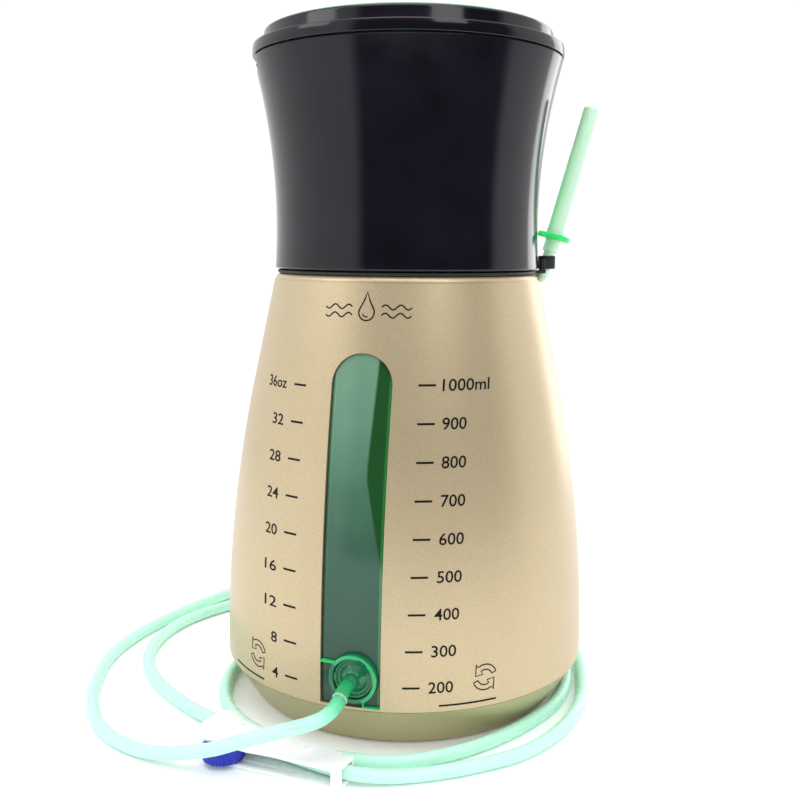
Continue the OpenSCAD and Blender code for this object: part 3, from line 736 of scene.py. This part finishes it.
def make_tank(skins):
    """The reservoir: its wall with the level window, the welded bottom plate and the threaded mouth."""
    low, top = 6.5, SHOULDER_Z - 2
    inner = TANK_INSET + TANK_WALL
    outline = up_side(TANK_INSET, low, BASE_H, 4) + up_side(TANK_INSET, BASE_H + 1, top, 60)
    outline += list(reversed(up_side(inner, BASE_H + 1, top, 60)))
    outline += list(reversed(up_side(inner, low, BASE_H, 4)))
    tank = build("tank_wall", lathe(outline, 192))
    face = up_side(WINDOW_RECESS, WINDOW_Z0, WINDOW_Z1 + 4, 60)
    back = list(reversed(up_side(TANK_INSET + 0.5, WINDOW_Z0, WINDOW_Z1 + 4, 60)))
    pane = build("pane", lathe(face + back, 240))
    carve(pane, window_prism(WINDOW_W - 0.6, WINDOW_Z0 + 0.3, WINDOW_Z1 - 0.3), "INTERSECT")
    combine(tank, pane, "UNION")
    carve(tank, moved(cylinder(SOCKET_R + 0.1, SOCKET_BACK - 0.1, 70, 96), OUTLET_FRAME))
    carve(tank, moved(cylinder(4.2, 50, 70), OUTLET_FRAME))
    place(tank, "bottle", "green_clear", skins["green_clear"], ["tank"])
    rim = side_r(6.4) - TANK_INSET
    plate = build("tank_bottom", lathe(rounded([
        (0, 4, 0), (side_r(4) - TANK_INSET, 4, 0.3), (rim, 6.4, 0.1), (rim - 3.2, 6.4, 0.1),
        (rim - 3.6, 6.9, 0.2), (rim - 5, 6.9, 0.2), (rim - 5.4, 6.4, 0.2), (0, 6.4, 0),
    ], 3), 160))
    place(plate, "bottle", "green_clear", skins["green_mid"], ["tank_floor"])
    neck = [(NECK_R - TANK_WALL, 139.4), (40.05, 139.4), (40.05, 141.6), (STEP_R, 141.6),
            (STEP_R, SHOULDER_Z), (NECK_R, SHOULDER_Z)]
    neck += arc(NECK_R - 0.6, NECK_TOP - 0.6, 0.6, 0, 90, 4)
    neck += arc(NECK_R - TANK_WALL + 0.6, NECK_TOP - 0.6, 0.6, 90, 180, 4)
    mouth = build("threaded_neck", lathe(neck, 192))
    carve(mouth, thread(NECK_R - 0.3, NECK_R + 1.1, THREAD_Z), "UNION")
    place(mouth, "bottle", "green_clear", skins["green_mid"], ["neck_ring"])


def make_base(skins):
    outline = rounded([
        (0, 2.6, 0), (46.2, 2.6, 0), (46.2, 0, 0.3), (BASE_R - 1.2, 0, 0.8), (side_r(1.6), 1.6, 0.8),
        (BODY_R - 0.15, BASE_H - 0.35, 0.2), (BODY_R - 0.5, BASE_H - 0.1, 0),
        (BODY_R - CASING_WALL, BASE_H - 0.1, 0), (side_r(4) - CASING_WALL, 3.7, 0), (0, 3.7, 0),
    ], 5)
    base = build("base_bevel", lathe(outline, 240))
    place(base, "bottle", "bronze_paint", skins["bronze_paint"], ["base_shell"])


def make_foot(skins):
    outline = [(0, 0.35)]
    for r in (12, 22, 32):
        outline += [(r - 1.2, 0.35), (r - 0.7, 0.9), (r + 0.7, 0.9), (r + 1.2, 0.35)]
    outline += rounded([(41, 0, 0.3), (46, 0, 0.5), (46, 2.55, 0.3)], 4) + [(0, 2.55)]
    foot = build("rubber_foot", lathe(outline, 160))
    place(foot, "bottle", "black_rubber", skins["black_rubber"], ["foot_pad"])


def make_neck_seal(skins):
    outline = rounded([(37.4, 143.65, 0.3), (39.1, 143.65, 0.3), (39.1, 144.95, 0.45), (38.6, 144.6, 0.2),
                       (38, 144.6, 0.2), (37.4, 144.95, 0.45)], 4)
    seal = build("neck_gasket", lathe(outline, 160))
    place(seal, "bottle", "black_rubber", skins["black_rubber"], ["neck_seal"])


def make_holder(skins):
    """The flat ring on the shoulder, with an arm out to the eye that the nozzle stands in."""
    z = SHOULDER_Z + 0.1
    ring = rounded([(39.7, z, 0.1), (43.4, z, 0.3), (43.4, z + 1, 0.3), (39.7, z + 1, 0.1)], 3)
    band = build("nozzle_holder", lathe(ring, 160))
    arm = rounded([(41.5, -4.6, 0.3), (46.9, -4.6, 0.8), (46.9, -2.2, 0.3), (41.5, -2.2, 0.3)], 3)
    carve(band, moved(prism(arm, z, z + 1), HOLDER_FRAME), "UNION")
    post = rounded([(44.9, -4.6, 0.5), (46.9, -4.6, 0.7), (46.9, -1.6, 0.2), (44.9, -1.6, 0.2)], 3)
    carve(band, moved(prism(post, z + 0.2, z + 4.8), HOLDER_FRAME), "UNION")
    lean = radians(NOZZLE_LEAN)
    reach = FLANGE_REACH - EYE_DROP * sin(lean)
    eye_z = FLANGE_Z - EYE_DROP * cos(lean) - EYE_H / 2
    eye = lathe(rounded([(0, 0, 0), (2.9, 0, 0.35), (2.9, EYE_H, 0.35), (0, EYE_H, 0)], 3), 72)
    carve(band, moved(eye, HOLDER_FRAME @ Matrix.Translation((reach, 0, eye_z))), "UNION")
    carve(band, moved(cylinder(2.1, -EYE_DROP - 6, -EYE_DROP + 6), NOZZLE_FRAME))
    place(band, "bottle", "black_rubber", skins["black_rubber"], ["holder_band"])


# -------------------------------------------------------- cup


def cup_slot(width, z0, z1, face):
    outline = stadium(width, z0, z1)
    turn = Matrix.Rotation(radians(SLOT_TURN), 4, "Z") @ Matrix.Rotation(radians(90), 4, "X")
    return moved(prism(outline, face, face + 20), turn)


def make_cup(skins):
    """The flared shell, and the threaded cap inside it that is also the cup's floor."""
    outline = [(41.4, WAIST_Z), (41.4, CUP_Z + 0.3), (41.7, CUP_Z)]
    outline += arc(cup_r(CUP_Z) - 0.7, CUP_Z + 0.7, 0.7, 270, 360, 6)
    outline += up_cup(0, CUP_Z + 0.9, SEAM_Z - 0.4, 60) + [(cup_r(SEAM_Z) - 0.35, SEAM_Z)]
    outline += [(cup_r(SEAM_Z) - CUP_WALL, SEAM_Z)]
    outline += list(reversed(up_cup(CUP_WALL, WAIST_Z, SEAM_Z - 1, 50)))
    cup = build("black_cup", lathe(outline, 240))
    carve(cup, cup_slot(12, 152, 200, 42.2))
    notch_frame = (Matrix.Rotation(radians(NOTCH_TURN), 4, "Z")
                   @ Matrix.Translation((cup_r(SEAM_Z) + 6, 0, SEAM_Z - 3))
                   @ Matrix.Rotation(radians(90), 4, "X"))
    carve(cup, moved(cylinder(7.5, -8, 8), notch_frame))
    place(cup, "cup", "black_gloss", skins["black_gloss"], ["cup_shell"])
    floor_r = cup_r(CUP_FLOOR) - CUP_WALL - 0.05
    outline = rounded([
        (3, CUP_FLOOR, 0.1), (SOCKET_IN, CUP_FLOOR, 0.6), (SOCKET_IN, CUP_Z + 0.3, 0.4),
        (SOCKET_OUT, CUP_Z + 0.3, 0.4), (SOCKET_OUT, CUP_FLOOR, 0.5), (floor_r, CUP_FLOOR, 0.1),
        (floor_r, CUP_FLOOR + 2.2, 0.4), (3, CUP_FLOOR + 2.2, 0.2),
    ], 4)
    socket = build("threaded_cap", lathe(outline, 192))
    carve(socket, thread(SOCKET_IN + 0.3, NECK_R + 0.4, THREAD_Z - THREAD_PITCH / 2), "UNION")
    place(socket, "cup", "black_gloss", skins["black_gloss"], ["cup_socket"])


def make_cup_window(skins):
    outline = up_cup(0.25, 150, 202, 50) + list(reversed(up_cup(CUP_WALL, 150, 202, 50)))
    pane = build("cup_pane", lathe(outline, 240))
    carve(pane, cup_slot(11.7, 152.15, 196, 42.3), "INTERSECT")
    place(pane, "cup", "green_clear", skins["green_bright"], ["cup_window"])


def make_valve(skins):
    z = CUP_FLOOR + 2.25
    outline = rounded([
        (0.8, CUP_FLOOR - 0.95, 0.2), (3.7, CUP_FLOOR - 0.95, 0.3), (3.7, CUP_FLOOR - 0.2, 0.3),
        (2.95, CUP_FLOOR - 0.1, 0.1), (2.95, z, 0.1), (6, z, 0.2), (6, z + 0.8, 0.4), (4.6, z + 1.2, 0.3),
        (3.4, z + 0.8, 0.3), (2.2, z + 1.2, 0.3), (0.8, z + 1.2, 0.2),
    ], 4)
    valve = build("vent_plug", lathe(outline, 72))
    place(valve, "cup", "clear_silicone", skins["clear_silicone"], ["vent_valve"])


# -------------------------------------------------------- lid


def make_lid(skins):
    """The lid: outer band, green inner plug, raised top with a green disc let into it, and a seal."""
    ring = rounded([
        (49.2, LID_Z, 0.1), (50.75, LID_Z, 0.35), (50.9, LID_Z + 1.6, 0), (50.7, RIM_Z, 0.5),
        (48, RIM_Z, 0.2), (48, LID_Z + 1.4, 0), (49.2, LID_Z + 1.4, 0),
    ], 4)
    band = build("lid_band", lathe(ring, 240))
    place(band, "lid", "black_gloss", skins["black_gloss"], ["lid_ring"])
    liner = rounded([
        (0, RIM_Z - 1.6, 0), (45.2, RIM_Z - 1.6, 1.2), (44, 204.5, 0.3), (45.8, 204.5, 0.6),
        (46.8, 209, 0.1), (46, 209, 0.1), (46, 210.5, 0.1), (47.2, 210.5, 0.1), (47.5, LID_Z, 0),
        (47.7, LID_Z + 1.4, 0), (47.7, RIM_Z, 0.1), (0, RIM_Z, 0),
    ], 4)
    plug = build("lid_plug", lathe(liner, 240))
    place(plug, "lid", "green_bright", skins["green_mid"], ["lid_liner"])
    low = RIM_Z + 0.05
    high = RIM_Z + 4.6
    outline = [(0, low), (LID_CAP_R - 0.25, low), (LID_CAP_R, low + 0.25)]
    outline += arc(LID_CAP_R - 1.5, high - 1, 1, 0, 90, 8)
    outline += [(45.8, high), (45.8, high - 0.9), (0, high - 0.9)]
    cap = build("lid_top", lathe(outline, 240))
    place(cap, "lid", "black_gloss", skins["black_gloss"], ["lid_cap"])
    disc = [(0, high - 0.85), (45.75, high - 0.85)] + arc(45.4, high, 0.35, 0, 80, 5)
    disc += [(45.3 * i / 24, high + 0.36 + 0.4 * (1 - (i / 24) ** 2)) for i in range(24, -1, -1)]
    plate = build("lid_disc", lathe(disc, 240))
    place(plate, "lid", "green_bright", skins["green_mid"], ["lid_plate"])
    seal = build("lid_o_ring", lathe(arc(46.8, 209.75, 0.7, 0, 345, 23), 160))
    place(seal, "lid", "clear_silicone", skins["clear_silicone"], ["lid_seal"])


# -------------------------------------------------------- outlet


def make_socket(skins):
    outline = rounded([
        (4.2, SOCKET_BACK, 0.1), (SOCKET_R, SOCKET_BACK, 0.1), (SOCKET_R, SOCKET_FRONT, 0.3),
        (6.3, SOCKET_FRONT, 0.2), (6.3, SOCKET_FRONT - 0.6, 0), (GROOVE_R, SOCKET_FRONT - 0.6, 0),
        (GROOVE_R, CONNECTOR_SEAT + 0.7, 0.1), (6.3, CONNECTOR_SEAT + 0.7, 0), (6.3, CONNECTOR_SEAT, 0.2),
        (4.2, CONNECTOR_SEAT, 0.2),
    ], 3)
    socket = build("bayonet_socket", moved(lathe(outline, 120), OUTLET_FRAME))
    crest = sector(SOCKET_R + 0.02, RIDGE_R, SOCKET_FRONT - 0.5, SOCKET_FRONT + 0.5,
                   RIDGE_START, RIDGE_END, 48)
    ridge = build("socket_ridge", moved(crest, OUTLET_FRAME))
    soften(ridge, 0.15)
    for turn in (60, 240):
        cut = sector(GROOVE_R, 5.2, SOCKET_FRONT - 1, SOCKET_FRONT + 1, turn - 13, turn + 13)
        carve(socket, moved(cut, OUTLET_FRAME))
        carve(ridge, moved(cut, OUTLET_FRAME))
    place(socket, "bottle", "green_bright", skins["green_dark"], ["outlet_socket"])
    place(ridge, "bottle", "green_bright", skins["green_mid"])
    left = prism([(-10.4, 4.4), (-6, 4.2), (-6, 4.45), (-10.4, 4.65)], 60, 62)
    down = prism([(3, -8.7), (3.25, -8.7), (3.25, -6.6), (3, -6.6)], 60, 62)
    along = prism([(3, -8.8), (8.2, -8.8), (8.2, -8.6), (3, -8.6)], 60, 61.8)
    ribs = build("socket_ribs", moved(joined(left, down, along), OUTLET_FRAME))
    place(ribs, "bottle", "green_bright", skins["green_bright"])


def make_connector(skins):
    back = CONNECTOR_SEAT + 0.2
    front = SOCKET_FRONT - 0.8
    outline = [
        (1.1, back - 3.6, 0.2), (3.2, back - 3.6, 0.4), (3.2, back - 2.8, 0.1), (2.7, back - 2.8, 0.1),
        (2.7, back - 1.6, 0.1), (3.2, back - 1.6, 0.1), (3.2, back, 0.1), (6.25, back, 0.3),
        (6.25, front, 0.4), (5.4, front, 0.3), (5.1, front - 0.7, 0.3), (4.4, front - 0.7, 0.3),
        (3.6, front - 0.1, 0.4), (2.6, front + 0.5, 0.5),
    ]
    y = front + 1
    while y < STUB_REACH - 1.2:
        outline += [(2.0, y, 0.1), (2.4, y + 0.12, 0.1), (2.1, y + 0.8, 0.1), (2.0, y + 1.1, 0.1)]
        y += 1.3
    outline += [(2.0, STUB_REACH, 0.3), (1.1, STUB_REACH, 0.2)]
    plug = build("hose_connector", moved(lathe(rounded(outline, 3), 96), OUTLET_FRAME))
    for turn in (0, 180):
        lug = sector(GROOVE_R - 0.1, 5.75, front - 0.95, front, turn - 11, turn + 11)
        carve(plug, moved(lug, OUTLET_FRAME), "UNION")
    place(plug, "connector", "green_dark", skins["green_dark"], ["outlet_connector"])
    loop = lathe(arc(3.65, CONNECTOR_SEAT - 2, 0.5, 0, 345, 23), 72)
    ring = build("connector_o_ring", moved(loop, OUTLET_FRAME))
    place(ring, "connector", "black_rubber", skins["black_rubber"], ["outlet_oring"])


# -------------------------------------------------------- roller clamp


def clamp_track(z0, z1):
    r = 1.15
    outline = arc(TRACK_BACK, 0, r, 90, 270, 12) + arc(TRACK_AHEAD, 0, r, -90, 90, 12)
    return moved(prism(outline, z0, z1), WHEEL_FRAME)


def make_clamp(skins):
    outline = rounded([
        (0, 1.2, 0.6), (6, -2.4, 2), (22, -2.4, 3), (30, -1.2, 6), (52, 0, 0.5), (52, 9.2, 0.5),
        (16, 11.3, 4), (11, 12.6, 3), (6, 15.6, 1.2), (2.5, 16, 1.2), (0, 14.6, 0.8),
    ], 5)
    channel = rounded([
        (-1, -5, 0), (49.5, -5, 0), (49.5, 2.5, 0.3), (53, 2.5, 0), (53, 8, 0), (15.9, 10.1, 3),
        (10.5, 11.4, 2), (5.5, 14.3, 1), (3.2, 15, 0.8), (-1, 17, 0),
    ], 4)
    clamp = build("clamp_housing", moved(prism(outline, 0, CLAMP_H), CLAMP_FRAME))
    carve(clamp, moved(prism(channel, CLAMP_WALL, CLAMP_H - CLAMP_WALL), CLAMP_FRAME))
    soften(clamp, 0.3, 40, 3)
    carve(clamp, clamp_track(CLAMP_WALL - 0.6, CLAMP_WALL + 0.1))
    carve(clamp, clamp_track(CLAMP_H - CLAMP_WALL - 0.1, CLAMP_H - CLAMP_WALL + 0.6))
    place(clamp, "bottle", "white_plastic", skins["white_plastic"], ["clamp_body"])
    axle = lathe(rounded([(0, 0.65, 0), (1.1, 0.65, 0.2), (1.1, 6.35, 0.2), (0, 6.35, 0)], 3), 48)
    pin = build("clamp_pin", moved(axle, WHEEL_FRAME))
    place(pin, "axle", "steel", skins["steel"], ["clamp_axle"])
    return clamp, pin


def make_wheel(skins):
    """The thumb wheel: a ribbed rim with dished faces round its hub."""
    rim = []
    for i in range(WHEEL_RIBS):
        for part, r in ((0, WHEEL_R), (0.3, WHEEL_R), (0.5, WHEEL_R - 0.35), (0.8, WHEEL_R - 0.35)):
            a = TURN * (i + part) / WHEEL_RIBS
            rim.append((r * cos(a), r * sin(a)))
    wheel = build("thumb_wheel", moved(prism(rim, WHEEL_Z0, WHEEL_Z1), WHEEL_FRAME))
    soften(wheel, 0.12, 50, 2)
    carve(wheel, moved(sector(4.9, 2.2, 4.9, 6, 0, 359.9, 64), WHEEL_FRAME))
    carve(wheel, moved(sector(4.9, 2.2, 1, 2.1, 0, 359.9, 64), WHEEL_FRAME))
    carve(wheel, moved(cylinder(1.15, 0, 7, 48), WHEEL_FRAME))
    place(wheel, "wheel", "blue_plastic", skins["blue_plastic"], ["clamp_wheel"])
    return wheel


# -------------------------------------------------------- nozzle


def make_nozzle(skins):
    """The nozzle: flange, stem and the elbow below the holder, the slim tube and its sheath."""
    half = FLANGE_H / 2
    disc = rounded([
        (0.8, -half, 0), (FLANGE_R, -half, 0.5), (FLANGE_R, half, 0.5), (2.35, half, 0.2),
        (2.35, 3, 0.2), (2, 3.3, 0.1), (2, 6, 0.3), (1.5, 6, 0.1), (1.5, 3.5, 0), (0.8, 3.5, 0),
    ], 4)
    adapter = build("nozzle_flange", moved(lathe(disc, 96), NOZZLE_FRAME))
    stem = rounded([
        (0.8, -ELBOW_DROP, 0), (STEM_R, -ELBOW_DROP, 0), (STEM_R, -5.2, 0.3), (2.5, -5, 0.2),
        (2.5, -half, 0), (0.8, -half, 0),
    ], 4)
    turns = [pi / 2 * k / 16 for k in range(17)]
    bend = [Vector((0, ELBOW_R * (1 - cos(a)), -ELBOW_DROP - ELBOW_R * sin(a))) for a in turns]
    bend[0] += Vector((0, 0, 0.02))
    elbow = build("nozzle_stem", moved(lathe(stem, 96), NOZZLE_FRAME))
    carve(elbow, moved(tube(bend, STEM_R - 0.01, 0.8, 48), NOZZLE_FRAME), "UNION")
    place(adapter, "bottle", "green_bright", skins["green_bright"], ["nozzle_adapter"])
    place(elbow, "bottle", "green_bright", skins["nozzle_clear"])
    base = 3.55
    crown = base + TIP_L - 0.95
    outline = [(0.5, base), (1.45, base), (1.45, base + 3)]
    outline += arc(0, crown, 0.95, 0, 58, 8) + [(0.5, base + 1)]
    tip = build("nozzle_tube", moved(lathe(outline, 64), NOZZLE_FRAME))
    place(tip, "bottle", "nozzle_clear", skins["nozzle_clear"], ["nozzle_tip"])
    top_r, foot_r, wall, start, edge = 2.6, 2.95, 0.5, half + 0.1, 0.9
    end = start + SHEATH_L
    outline = [(foot_r - wall, start), (foot_r, start)]
    outline += [(foot_r - 0.02, start + 1.3), (foot_r - 0.12, start + 1.5)]
    outline += [(top_r, end - edge)] + arc(top_r - edge, end - edge, edge, 15, 90, 6)
    outline += [(0, end), (0, end - wall), (top_r - edge, end - wall), (top_r - wall, end - edge)]
    sheath = build("nozzle_sheath", moved(lathe(outline, 96), NOZZLE_FRAME))
    place(sheath, "sheath", "nozzle_clear", skins["nozzle_clear"], ["tip_sheath"])
    return adapter, elbow, tip, sheath


# -------------------------------------------------------- printed marks


def text_shape(text, height, width):
    """Flat figures of a given height and width, with a little thickness."""
    curve = bpy.data.curves.new("figures", "FONT")
    curve.body = text
    curve.extrude = 1
    curve.offset = 0.008
    curve.resolution_u = 3
    carrier = bpy.data.objects.new("figures", curve)
    scene.collection.objects.link(carrier)
    bpy.context.view_layer.update()
    mesh = bpy.data.meshes.new_from_object(carrier.evaluated_get(bpy.context.evaluated_depsgraph_get()))
    xs = [v.co.x for v in mesh.vertices]
    ys = [v.co.y for v in mesh.vertices]
    wide, tall = width / (max(xs) - min(xs)), height / (max(ys) - min(ys))
    verts = [((v.co.x - min(xs)) * wide, (v.co.y - min(ys)) * tall, v.co.z) for v in mesh.vertices]
    faces = [tuple(p.vertices) for p in mesh.polygons]
    bpy.data.objects.remove(carrier)
    return verts, faces


def stroke(points, width, closed=False):
    """A line of a given width along flat points."""
    count = len(points)
    left, right = [], []
    for i, point in enumerate(points):
        ahead = Vector(points[(i + 1) % count if closed else min(i + 1, count - 1)])
        back = Vector(points[i - 1 if closed else max(i - 1, 0)])
        across = Vector((back.y - ahead.y, ahead.x - back.x)).normalized() * width / 2
        left.append(tuple(Vector(point) + across))
        right.append(tuple(Vector(point) - across))
    verts = [(x, y, z) for x, y in left + right for z in (-1, 1)]
    faces = []
    for i in range(count if closed else count - 1):
        n = (i + 1) % count
        a, b, c, d = 2 * i, 2 * n, 2 * (count + n), 2 * (count + i)
        faces += [(a, b, c, d), (a + 1, d + 1, c + 1, b + 1), (a, a + 1, b + 1, b), (d, c, c + 1, d + 1)]
    if not closed:
        e = 2 * (count - 1)
        faces += [(0, 2 * count, 2 * count + 1, 1), (e, e + 1, 2 * count + e + 1, 2 * count + e)]
    return verts, faces


def shifted(shape, du, dv):
    return moved(shape, Matrix.Translation((du, dv, 0)))


def wrapped(shape):
    """A flat shape of (arc distance, height, side) laid round the casing as a thin film of ink."""
    verts = []
    for u, v, w in shape[0]:
        r = side_r(v) + 0.035 + 0.025 * w
        a = u / side_r(v)
        verts.append((r * sin(a), -r * cos(a), v))
    return verts, shape[1]


def turning_arrow(cx, cy, r, start):
    """One outlined arrow of a pair that chase each other round a circle."""
    outer = arc(cx, cy, r + 0.8, start, start + 105, 10)
    inner = arc(cx, cy, r - 0.8, start + 105, start, 10)
    head = [(cx + k * cos(radians(a)), cy + k * sin(radians(a)))
            for k, a in ((r + 2, start + 105), (r, start + 150), (r - 2, start + 105))]
    return stroke(outer + head + inner, 0.38, True)


def make_marks(skins):
    shapes = []
    for i in range(9):
        lean = i / 8
        bulge = sin(pi * lean)
        z = ML_TOP - MARK_STEP * i
        centre = 20.6 - 1.1 * lean + 1.4 * bulge
        shapes.append(stroke([(centre - 2.6 + 0.87 * k, z) for k in range(7)], 0.62))
        label = "1000ml" if i == 0 else str(1000 - 100 * i)
        figures = text_shape(label, 3.6, 15.3 if i == 0 else 7.6)
        shapes.append(shifted(figures, 25.3 - 0.6 * lean + 1.7 * bulge, z - 1.8))
        z = OZ_TOP - MARK_STEP * i
        centre = 20.7 - 1.1 * lean + 0.9 * bulge
        shapes.append(stroke([(-centre - 2.5 + 0.83 * k, z) for k in range(7)], 0.62))
        label = "36oz" if i == 0 else str(36 - 4 * i)
        width = {4: 10.2, 2: 5.6, 1: 2.7}[len(label)]
        end = -26.9 + 1.8 * lean - 0.9 * bulge
        shapes.append(shifted(text_shape(label, 3.4, width), end - width, z - 1.7))
    for u, z, r, start, end in ((42.6, 24, 3.2, 28, 46.6), (-35.3, 24.2, 3.5, -50.7, -32)):
        shapes += [turning_arrow(u, z, r, 20), turning_arrow(u, z, r, 200)]
        bar = [(start + (end - start) * k / BAR_STEPS, BAR_Z) for k in range(BAR_STEPS + 1)]
        shapes.append(stroke(bar, 0.55))
    shapes += emblem()
    marks = build("printed_marks", wrapped(joined(*shapes)))
    place(marks, "bottle", "black_gloss", skins["ink"])


def emblem():
    """A plain water drop between two runs of ripples."""
    drop = arc(1, 133, 2.4, -215, 35, 24) + [(1.9, 136.4), (1, 139), (0.1, 136.4)]
    shapes = [stroke(drop, 0.42, True), stroke(arc(1, 133, 1.3, 200, 290, 8), 0.35)]
    for side in (-1, 1):
        for row in range(2):
            z = 134.6 - 2.4 * row
            ripple = [(1 + side * (4.6 + 0.45 * k), z + 0.7 * sin(0.62 * k)) for k in range(21)]
            shapes.append(stroke(ripple, 0.42))
    return shapes


# -------------------------------------------------------- floor


def make_floor():
    disc = build("floor", cylinder(FLOOR_R, -12, -0.02, 96))
    finish = Finish("floor", (0.97, 0.975, 0.98), 0.6, Specular_IOR_Level=0.1)
    tone = finish.ramp(finish.noise(120), [(0.3, (0.96, 0.965, 0.97)), (0.7, (0.98, 0.98, 0.985))])
    finish.feed("Base Color", tone)
    finish.set("Emission Color", (1, 1, 1, 1))
    finish.set("Emission Strength", 0.06)
    finish.bump(finish.noise(2, 2), 0.01)
    disc.data.materials.append(finish.material)


# -------------------------------------------------------- making

make_camera()
make_studio()
make_floor()
skins = make_materials()
hose, hose_lip, hose_line = make_hose_piece(skins)
make_casing(skins)
make_tank(skins)
make_base(skins)
make_foot(skins)
make_neck_seal(skins)
make_holder(skins)
make_cup(skins)
make_cup_window(skins)
make_valve(skins)
make_lid(skins)
make_socket(skins)
make_connector(skins)
clamp, pin = make_clamp(skins)
wheel = make_wheel(skins)
adapter, elbow, tip, sheath = make_nozzle(skins)
make_marks(skins)
